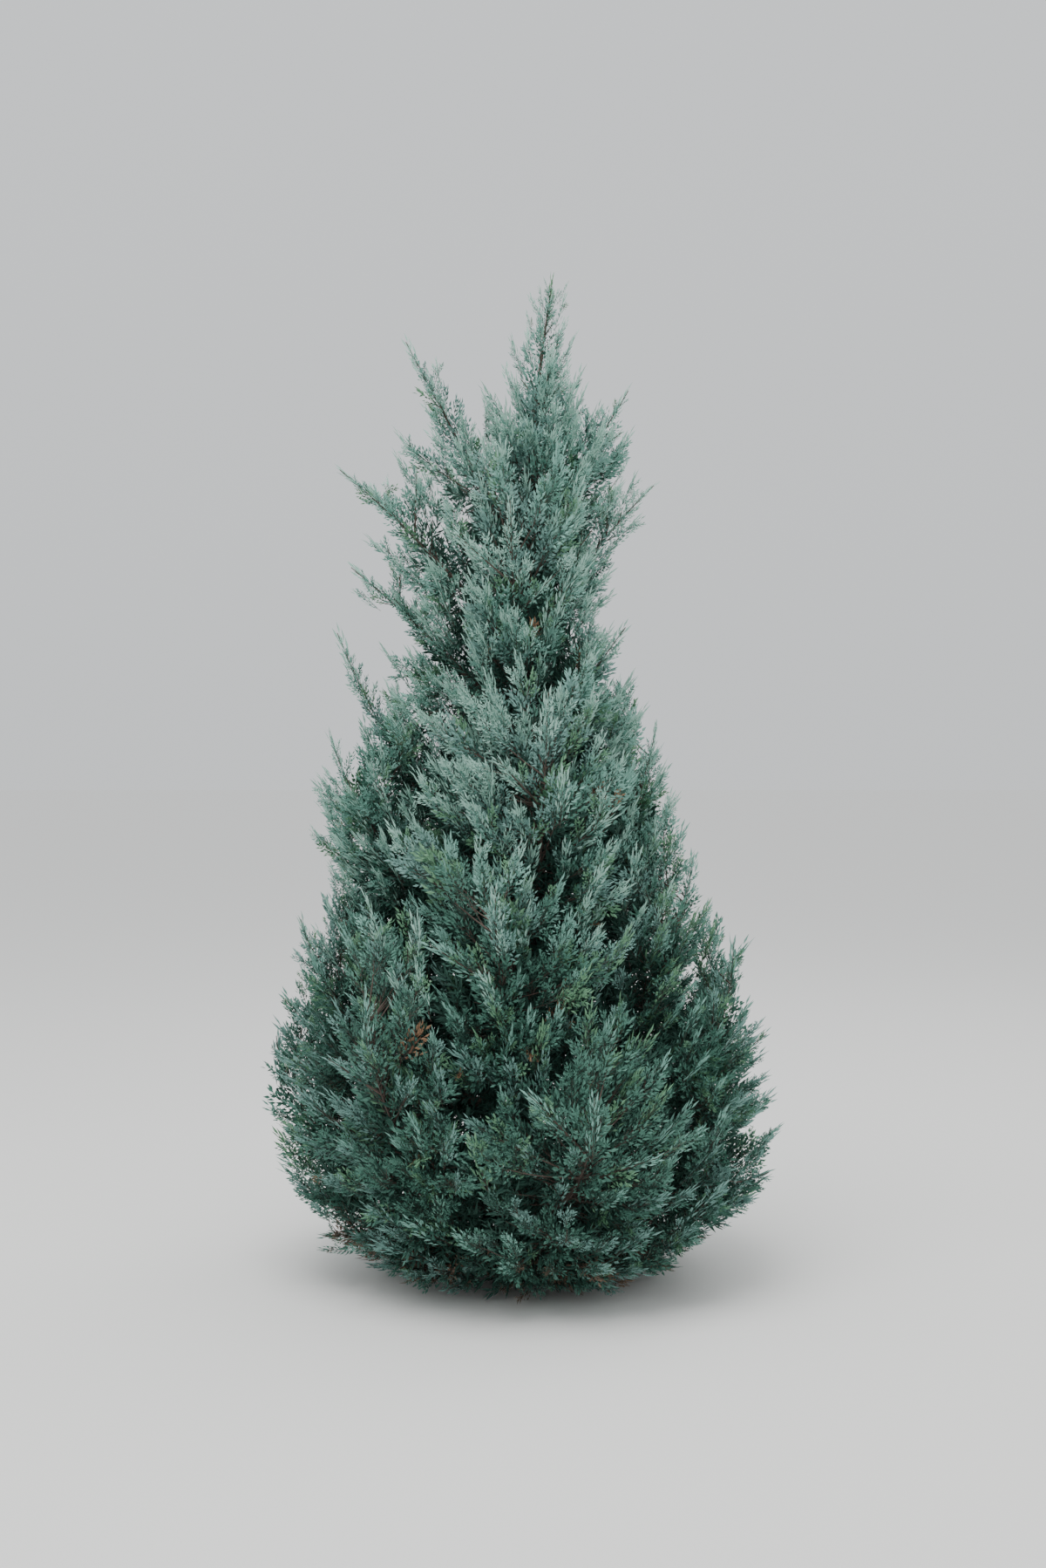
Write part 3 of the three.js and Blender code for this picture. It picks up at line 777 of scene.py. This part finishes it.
class Faces:  # gathers corners and faces of a mesh
    def __init__(self):
        self.corners, self.faces = [], []

    def add(self, corners, faces):
        base = len(self.corners)
        self.corners += [tuple(c) for c in corners]
        self.faces += [tuple(base + i for i in face) for face in faces]

    def leaf(self, root, direction, length, width, facing):  # a leaf folded along its middle
        side = unit(np.cross(direction, facing))
        normal = np.cross(side, direction)
        belly = root + direction * length * plumeShape["belly"] - normal * width * plumeShape["fold"]
        tip = root + direction * length
        self.add([root, belly + side * width / 2, tip, belly - side * width / 2], [(0, 1, 2), (0, 2, 3)])

    def rod(self, ends, radii, sides=3):
        direction = unit(ends[1] - ends[0])
        one = across(direction, np.array((0.3, 1.0, 0.2)))
        two = np.cross(direction, one)
        turns = [2 * pi * i / sides for i in range(sides)]
        ring = [one * cos(turn) + two * sin(turn) for turn in turns]
        corners = [spot + radius * side for spot, radius in zip(ends, radii) for side in ring]
        nexts = [(i + 1) % sides for i in range(sides)]
        self.add(corners, [(i, j, sides + j, sides + i) for i, j in enumerate(nexts)])

    def mesh(self, name):
        made = bpy.data.meshes.new(name)
        made.from_pydata(self.corners, [], self.faces)
        return made


def plumeParts(kind):  # the pale shoots at the ends, paler for new growth and painted light, the deeper ones further in, darker as painted shade, and the wood, a unit long
    tips, body, wood = Faces(), Faces(), Faces()
    shape = plumeShape
    bend = drift(shape["bend"], kind, 81)
    slim = drawn(shape["slim"], kind, 82)

    def axisAt(s):
        return np.array((bend * s * s, 0.0, s))

    def growTwiglet(i):
        place = i + shape["placePlay"] * chance(kind, i, 83)
        s = between((shape["first"], shape["last"]), place / shape["twiglets"])
        turn = pi * i + drift(shape["turnPlay"], kind, i, 84)
        spread = radians(between(shape["angle"], s) + drift(shape["anglePlay"], kind, i, 85))
        full = shape["reach"] * (1 - s) ** shape["taper"] * drawn(shape["reachPlay"], kind, i, 86)
        length = (shape["least"] + full) * slim
        side = np.array((cos(turn), sin(turn) * shape["flat"], 0.0))
        start = axisAt(s)
        direction = unit(up * cos(spread) + unit(side) * sin(spread))
        curve = up * shape["upturn"] * length
        facing = unit(np.array((drift(shape["facingPlay"], kind, i, 87), 1.0, 0.0)))
        if s < shape["woodTo"]:
            along = unit(direction * length + curve)
            wood.leaf(start, along, length * shape["woodLength"], shape["woodWidth"], facing)
        count = max(1, round(length * (1 - shape["shootFrom"]) / shape["spacing"]))
        for j in range(count + 1):
            t = between((shape["shootFrom"], 1), j / count)
            aim = tangent = unit(direction * length + curve * 2 * t)
            size = shape["length"] * drawn(shape["lengthPlay"], kind, i, j, 88)
            roll = turned(across(tangent, facing), tangent, drift(shape["roll"], kind, i, j, 89))
            if j == count:
                size *= shape["lastShoot"]
            else:
                aside = np.cross(tangent, roll) * (1 if j % 2 else -1)
                angle = radians(shape["shootAngle"])
                aim = unit(tangent * cos(angle) + unit(aside) * sin(angle))
            # shoots near a twiglet's end or high on the plume take the pale tips colours, new growth and
            # painted light; the others take the darker body colours, a painted shade
            holder = tips if t > shape["tipFrom"] or s > shape["paleFrom"] else body
            holder.leaf(start + direction * length * t + curve * t * t, aim, size, shape["width"], roll)

    wood.rod((axisAt(0), axisAt(shape["axisTo"])), shape["axisRadii"])
    for i in range(shape["twiglets"]):
        growTwiglet(i)
    for j in range(shape["endShoots"] + 1):
        s = between((shape["endFrom"], shape["endTo"]), j / shape["endShoots"])
        tangent = unit(np.array((2 * bend * s, 0, 1.0)))
        turn = goldenTurn * j
        roll = np.array((cos(turn), sin(turn), 0.0))
        angle = shape["endAngle"]
        aim = unit(tangent * cos(angle) + np.cross(tangent, roll) * sin(angle))
        if j == shape["endShoots"]:
            aim, s = tangent, shape["lastAt"]
        tips.leaf(axisAt(s), aim, shape["endLength"], shape["width"] * shape["endWidth"], roll)
    return tips, body, wood


innerShape = {
    "blades": 19, "along": 0.75, "spread": (1.2, 0.3), "spreadPlay": 0.3, "length": 0.28, "play": (0.8, 1.3),
    "width": 0.066, "roll": 0.4,
}


def innerPart(kind):  # a loose tuft of shaded foliage
    body = Faces()
    shape = innerShape
    for i in range(shape["blades"]):
        s = i / shape["blades"]
        turn = goldenTurn * i + kind
        spread = between(shape["spread"], s) + drift(shape["spreadPlay"], kind, i, 91)
        side = np.array((cos(turn), sin(turn), 0.0))
        aim = unit(up * cos(spread) + side * sin(spread))
        length = shape["length"] * drawn(shape["play"], kind, i, 92)
        roll = unit(np.array((-side[1], side[0], shape["roll"])))
        body.leaf(up * s * shape["along"], aim, length, shape["width"], across(aim, roll))
    return body


def collectionOf(name, partMeshes):
    group = bpy.data.collections.new(name)
    for i, part in enumerate(partMeshes):
        group.objects.link(bpy.data.objects.new(f"{name}_{i:02d}", part.mesh(f"{name}_{i:02d}")))
    return group


def newGeometryTree(name, inputs):
    nodes = bpy.data.node_groups.new(name, "GeometryNodeTree")
    sockets = {"Geometry": "NodeSocketGeometry", **inputs}
    for label, kind in sockets.items():
        nodes.interface.new_socket(label, in_out="INPUT", socket_type=kind)
    nodes.interface.new_socket("Geometry", in_out="OUTPUT", socket_type="NodeSocketGeometry")
    net = Net(nodes)
    start = nodes.nodes.new("NodeGroupInput")
    values = {label: Value(net, start.outputs[label]) for label in sockets}
    return nodes, net, values


def endTree(net, geometry, finish):
    real = net.add("GeometryNodeRealizeInstances", None, {"Geometry": geometry})
    painted = net.add("GeometryNodeSetMaterial", None, {"Geometry": real, "Material": finish})
    net.add("NodeGroupOutput", None, {"Geometry": painted})


sprayFields = {
    "aim": "FLOAT_VECTOR", "facing": "FLOAT_VECTOR", "reach": "FLOAT", "girth": "FLOAT", "kind": "INT",
}
sprayPose = {"roll": 0.7, "facingUp": 0.35}  # how far a spray turns about itself, in radians, and faces up


def sprayTree():
    inputs = {"Sprays": "NodeSocketCollection", "Seed": "NodeSocketInt", "Finish": "NodeSocketMaterial"}
    nodes, net, given = newGeometryTree("spraysOnTwigs", inputs)
    aim, facing, reach, girth, kind = [
        net.add("GeometryNodeInputNamedAttribute", {"data_type": dataType}, {"Name": name})
        for name, dataType in sprayFields.items()
    ]
    turns = {2: -sprayPose["roll"], 3: sprayPose["roll"], 8: given["Seed"]}
    roll = net.add("FunctionNodeRandomValue", {"data_type": "FLOAT"}, turns, 1)
    along = net.add("FunctionNodeAlignRotationToVector", {"axis": "Z"}, {"Vector": aim})
    outward = {"axis": "Y", "pivot_axis": "Z"}
    faced = net.add("FunctionNodeAlignRotationToVector", outward, {0: along, 2: facing})
    aboutAxis = net.add("FunctionNodeAxisAngleToRotation", None, {"Axis": (0, 0, 1), "Angle": roll})
    spin = net.add("FunctionNodeRotateRotation", {"rotation_space": "LOCAL"}, {0: faced, 1: aboutAxis})
    wide = reach * girth
    size = net.add("ShaderNodeCombineXYZ", None, {0: wide, 1: wide, 2: reach})
    picked = net.add("GeometryNodeCollectionInfo", None, {0: given["Sprays"], 1: True, 2: True})
    copies = net.add("GeometryNodeInstanceOnPoints", None, {
        "Points": given["Geometry"], "Instance": picked, "Pick Instance": True, "Instance Index": kind,
        "Rotation": spin, "Scale": size,
    })
    endTree(net, copies, given["Finish"])
    return nodes


def branchTree():
    inputs = {"Sides": "NodeSocketInt", "Thickness": "NodeSocketFloat", "Finish": "NodeSocketMaterial"}
    nodes, net, given = newGeometryTree("woodAlongLines", inputs)
    circle = {"Resolution": given["Sides"], "Radius": 1.0}
    profile = net.add("GeometryNodeCurvePrimitiveCircle", None, circle)
    radius = net.add("GeometryNodeInputRadius", None, None)
    tube = net.add("GeometryNodeCurveToMesh", None, {
        "Curve": given["Geometry"], "Profile Curve": profile, "Scale": radius * given["Thickness"],
        "Fill Caps": True,
    })
    endTree(net, tube, given["Finish"])
    return nodes


def addObject(name, data):
    made = bpy.data.objects.new(name, data)
    bpy.context.scene.collection.objects.link(made)
    return made


lowestLeaf = 0.0015  # what would dip into the ground lies on it


def runTree(name, data, nodes, values):  # the evaluated result as a plain mesh object at the origin
    source = addObject(name + "Source", data)
    modifier = source.modifiers.new("rule", "NODES")
    modifier.node_group = nodes
    for item in nodes.interface.items_tree:
        if item.in_out == "INPUT" and item.name in values:
            modifier[item.identifier] = values[item.name]
    evaluated = source.evaluated_get(bpy.context.evaluated_depsgraph_get())
    made = bpy.data.meshes.new_from_object(evaluated)
    bpy.data.objects.remove(source)
    made.name = name
    spots = np.empty(len(made.vertices) * 3, np.float32)
    made.vertices.foreach_get("co", spots)
    spots[2::3] = np.maximum(spots[2::3], lowestLeaf)
    made.vertices.foreach_set("co", spots)
    piece = addObject(name, made)
    made.calc_loop_triangles()
    print(f"{name}: {len(made.loop_triangles)} triangles")
    return piece


def pointsMesh(sprays, kinds):  # a point for each spray, with what its copy needs to know
    mesh = bpy.data.meshes.new("sprayPoints")
    roots, aims, reaches, _, girths, _ = zip(*sprays)
    mesh.from_pydata([tuple(root * mm) for root in roots], [], [])
    values = {
        "aim": np.array(aims), "facing": outwardAt(np.array(roots)) + up * sprayPose["facingUp"],
        "reach": np.array(reaches) * mm, "girth": np.array(girths),
        "kind": np.array([int(chance(i, int(reach * 10), 95) * kinds) for i, reach in enumerate(reaches)]),
    }
    for field, dataType in sprayFields.items():
        key = "vector" if dataType == "FLOAT_VECTOR" else "value"
        mesh.attributes.new(field, dataType, "POINT").data.foreach_set(key, values[field].ravel())
    return mesh


# Each tone has pale tips colours, paler for new growth and painted light, and darker body colours, a painted
# shade. The palest tone is new growth and painted light, the darkest is painted shade.
tones = {
    "shoot": {"tips": ("95beaf", "b3d3c7"), "body": ("5f8d81", "79a497")},
    "blue": {"tips": ("79a89b", "94bfb2"), "body": ("3f675c", "548072")},
    "grey": {"tips": ("719991", "8eb2a9"), "body": ("3b5f57", "4f756d")},
    "green": {"tips": ("639070", "83ac8b"), "body": ("3c634a", "50765b")},
    "deep": {"tips": ("507c6d", "679384"), "body": ("28473d", "395b50")},
    "dead": {"tips": ("9d7a5f", "b59273"), "body": ("765746", "8f6c57")},
    "withered": {"tips": ("7a685a", "93806d"), "body": ("584a41", "6f5d50")},
}
# How much light each plume is dealt: painted light that grows with height, painted shade deep in the crown,
# paler ends of the flames for new growth and painted light, and random patches.
toneRule = {
    "patch": 230, "patchShare": 0.5, "play": 0.3, "shootFrom": 0.4, "deepBelow": -0.2, "splitHeight": 700,
    "heights": (0, 600, 1300, 2400), "paintedLightByHeight": (-0.5, -0.48, 0.28, 0.27),
    "greenShares": (0.04, 0.12, 0.17, 0.14), "toTips": (0, 60, 150, 320), "growthAndLightByToTip": (0.45, 0.2, -0.1, -0.4),
    "deep": 130, "paintedShadeByDepth": 0.3, "deadShare": 0.006, "deadFrom": 50, "deadBelow": 1750, "lowDead": 0.1,
    "lowHeight": 140,
}


def toneOf(item, number):  # painted light and shade: paler higher up and darker further in, and paler on the ends of the flames for new growth as well as painted light
    root, aim, reach, owner, girth, toTip = item
    tip = root + aim * reach
    low = root[2] < toneRule["lowHeight"]
    depth = depthIn(tip[None])[0]
    mayBeDead = low or (depth > toneRule["deadFrom"] and tip[2] < toneRule["deadBelow"])
    if mayBeDead and chance(number, owner, 96) < toneRule["lowDead" if low else "deadShare"]:
        return "withered" if low else "dead"
    patch = noise(Vector(tip / toneRule["patch"]))
    light = toneRule["patchShare"] * patch + drift(toneRule["play"], number, owner, 98)
    # painted light from above: darker low down, paler higher up
    light += np.interp(tip[2], toneRule["heights"], toneRule["paintedLightByHeight"])
    # new growth and painted light: paler near a flame's tip, darker towards its root
    light += np.interp(toTip, toneRule["toTips"], toneRule["growthAndLightByToTip"])
    # painted shade deep in the crown
    if depth > toneRule["deep"]:
        light -= toneRule["paintedShadeByDepth"]
    # the palest tone where the most light is dealt: new growth and painted light
    if light > toneRule["shootFrom"]:
        return "shoot"
    if chance(number, owner, 97) < np.interp(tip[2], toneRule["heights"], toneRule["greenShares"]):
        return "green"
    # the darkest tone where the least light is dealt: painted shade
    if light < toneRule["deepBelow"]:
        return "deep"
    return "grey" if patch > 0 else "blue"


bark = barkFinish("bark", barkLook)
twigWood = twigFinish("twigWood", twigLook)
sprayNodes, branchNodes = sprayTree(), branchTree()
parts = [plumeParts(kind) for kind in range(plume["kinds"])]
partNames = ("tips", "body", "wood")
partSets = {name: collectionOf(name, group) for name, group in zip(partNames, zip(*parts))}
innerSet = collectionOf("innerTufts", [innerPart(kind) for kind in range(inner["kinds"])])
finishes = {
    (tone, part): foliageFinish(f"{tone}_{part}", *colours)
    for tone, looks in tones.items() for part, colours in looks.items()
}

groups = {}
for number, item in enumerate(plumes):
    tone = toneOf(item, number)
    half = "low" if item[0][2] < toneRule["splitHeight"] else "high"
    groups.setdefault(tone if tone in ("dead", "withered") else f"{tone}_{half}", []).append(item)
groups["withered"] += deadSprays

foliagePieces, woodPieces = [], []


def addSprays(pieces, name, sprays, shapes, finish, seed=5):
    values = {"Sprays": shapes, "Seed": seed, "Finish": finish}
    pieces.append(runTree(name, pointsMesh(sprays, len(shapes.objects)), sprayNodes, values))


for name, items in sorted(groups.items()):
    for part in partNames[:2]:
        finish = finishes[name.split("_")[0], part]
        addSprays(foliagePieces, f"foliage_{name}_{part}", items, partSets[part], finish)
    addSprays(woodPieces, f"stalks_{name}", items, partSets["wood"], twigWood)
shade = foliageFinish("shadedFoliage", *inner["colours"])
addSprays(foliagePieces, "foliage_inner", innerSprays, innerSet, shade, 9)


def linesData(paths):
    data = bpy.data.curves.new("twigLines", "CURVE")
    data.dimensions = "3D"
    for spots, radii in paths:
        line = data.splines.new("POLY")
        line.points.add(len(spots) - 1)
        line.points.foreach_set("co", np.hstack([spots * mm, np.ones((len(spots), 1))]).ravel())
        line.points.foreach_set("radius", np.asarray(radii) * mm)
    return data


values = {"Sides": 3, "Thickness": 1.0, "Finish": twigWood}
woodPieces.append(runTree("twigs", linesData(twigPaths), branchNodes, values))


# The trunk and the limbs, with fibrous bark in relief

relief = {
    "trunkSides": 56, "trunkStep": 9, "gather": 1.25, "limbSides": 12, "limbStep": 14, "depth": 0.1,
    "level": 0.6, "around": 3.2, "along": 150, "apart": 7.3, "fine": 2.7, "fineShare": 0.4, "thinning": 2.8,
    "endRadius": 1, "collar": 0.35, "collarLength": 40, "sunk": 0.5,
}


def barkMesh(name, paths):  # tubes with ridges that run along them, closed at both ends
    corners, faces, uvs = [], [], []
    for spots, radii, sides, number in paths:
        run = np.concatenate([[0], np.cumsum(norm(np.diff(spots, axis=0), axis=1))])
        tangents = np.gradient(spots, axis=0)
        one = across(unit(tangents[0]), np.array((0.9, 0.1, 0.2)))
        base = len(corners)
        for k, spot in enumerate(spots):
            direction = unit(tangents[k])
            one = across(direction, one)
            two = np.cross(direction, one)
            for i in range(sides):
                angle = 2 * pi * i / sides
                x, y = cos(angle) * relief["around"], sin(angle) * relief["around"]
                where = Vector((x, y + number * relief["apart"], run[k] / relief["along"]))
                fine = relief["fineShare"] * noise(where * relief["fine"])
                ridge = 1 - 2 * abs(noise(where)) + fine
                radius = radii(k, angle) * (1 + relief["depth"] * (ridge - relief["level"]))
                corner = spot + radius * (one * cos(angle) + two * sin(angle))
                corners.append((corner[0] * mm, corner[1] * mm, max(0.0, corner[2] * mm)))
        for k in range(len(spots) - 1):
            for i in range(sides):
                j = (i + 1) % sides
                under, over = base + k * sides, base + (k + 1) * sides
                faces.append((under + i, under + j, over + j, over + i))
                low, high = run[k] * mm, run[k + 1] * mm
                uvs += [(i / sides, low), ((i + 1) / sides, low), ((i + 1) / sides, high), (i / sides, high)]
        last = base + (len(spots) - 1) * sides
        for start, turn in ((base, -1), (last, 1)):
            faces.append(tuple(start + i for i in range(sides))[::turn])
            uvs += [(0.5, 0)] * sides
    mesh = bpy.data.meshes.new(name)
    mesh.from_pydata(corners, [], faces)
    layer = mesh.uv_layers.new(name="along")
    layer.data.foreach_set("uv", np.array(uvs).ravel())
    mesh.materials.append(bark)
    mesh.shade_smooth()
    print(f"{name}: {len(faces)} faces")
    return addObject(name, mesh)


def limbRadii(stem, share):  # past its bare part a limb thins quickly, and it widens at the trunk
    past = np.clip((share - stem.bare) / (1 - stem.bare), 0, 1)
    thin = stem.radius(stem.bare) * (1 - past) ** relief["thinning"] + relief["endRadius"]
    collar = 1 + relief["collar"] * np.exp(-share * stem.length / relief["collarLength"])
    return np.minimum(stem.radius(share), thin) * collar


heights = np.linspace(0, 1, round(trunk["top"] / relief["trunkStep"])) ** relief["gather"] * trunk["top"]
trunkPiece = barkMesh("trunk_bark", [
    (trunkAxis(heights), lambda k, angle: float(trunkRadius(heights[k], angle)), relief["trunkSides"], 0),
])

limbPaths = []
for number, stem in enumerate(stems):
    share = np.linspace(0, 1, max(8, round(stem.length / relief["limbStep"])))
    spots = stem.points(share)
    fromAxis = norm(spots - trunkAxis(spots[:, 2]), axis=1)
    keep = stem.slim | (fromAxis > relief["sunk"] * trunkRadius(spots[:, 2], 0))
    radii = limbRadii(stem, share)[keep]
    limbPaths.append((spots[keep], lambda k, angle, radii=radii: radii[k], relief["limbSides"], number + 1))
limbPiece = barkMesh("limbs_bark", limbPaths)


# Belonging to the frame

nodeNames = sorted(frame["nodes"])
masses = [name for name in nodeNames if name.startswith("foliage_")]
for piece in foliagePieces + woodPieces:
    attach(piece, "root")
    "foliage" if piece in foliagePieces else "bark"
    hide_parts(*masses)
for piece, start in ((trunkPiece, "trunk"), (limbPiece, "bough_")):
    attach(piece, "root")
    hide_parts(*[name for name in nodeNames if name.startswith(start)])


# Studio

floor = {"size": 60, "colour": "ebeae7", "roughness": 0.9, "roughPlay": 0, "gloss": 0.5}
studio = {
    "horizon": "dcdfe1", "zenith": "f2f5f8", "skyStrength": 1.15,
    "lamps": [
        {"place": (-0.9, -2.0, 6.4), "size": 4.0, "power": 300},
        {"place": (3.2, 3.0, 5.0), "size": 3.5, "power": 60},
    ],
    "lampsAt": (0, 0, 1.2), "cameraPlace": (0, -5.73, 1.52), "lens": 50, "sensor": 36,
    "pitch": atan(99 / 2497),
}


def makeFloor():
    half = floor["size"] / 2
    mesh = bpy.data.meshes.new("floor")
    corners = [(-half, -half, 0), (half, -half, 0), (half, half, 0), (-half, half, 0)]
    mesh.from_pydata(corners, [], [(0, 1, 2, 3)])
    material, net, place = shaderNet("floorPaint")
    finishShader(net, floor, linear(floor["colour"]))
    mesh.materials.append(material)
    addObject("floor", mesh)


def makeLights():
    for i, lamp in enumerate(studio["lamps"]):
        data = bpy.data.lights.new(f"softbox_{i}", "AREA")
        data.shape, data.size, data.energy = "DISK", lamp["size"], lamp["power"]
        light = addObject(f"softbox_{i}", data)
        light.location = lamp["place"]
        way = Vector(studio["lampsAt"]) - Vector(lamp["place"])
        light.rotation_euler = way.to_track_quat("-Z", "Y").to_euler()
    world = bpy.data.worlds.new("studio")
    world.use_nodes = True
    world.node_tree.nodes.clear()
    net = Net(world.node_tree)
    way = net.add("ShaderNodeTexCoord", None, None, output="Generated")
    height = net.add("ShaderNodeSeparateXYZ", None, {0: way}, output=2)
    stops = [(0.0, linear(studio["horizon"])), (1.0, linear(studio["zenith"]))]
    sky = net.add("ShaderNodeValToRGB", {"stops": stops}, {"Fac": height})
    glow = net.add("ShaderNodeBackground", None, {"Color": sky, "Strength": studio["skyStrength"]})
    net.add("ShaderNodeOutputWorld", None, {"Surface": glow})
    bpy.context.scene.world = world


def makeCamera():
    data = bpy.data.cameras.new("camera")
    data.lens, data.sensor_width = studio["lens"], studio["sensor"]
    camera = addObject("camera", data)
    camera.location = studio["cameraPlace"]
    camera.rotation_euler = (pi / 2 - studio["pitch"], 0, 0)
    bpy.context.scene.camera = camera


makeFloor()
makeLights()
makeCamera()
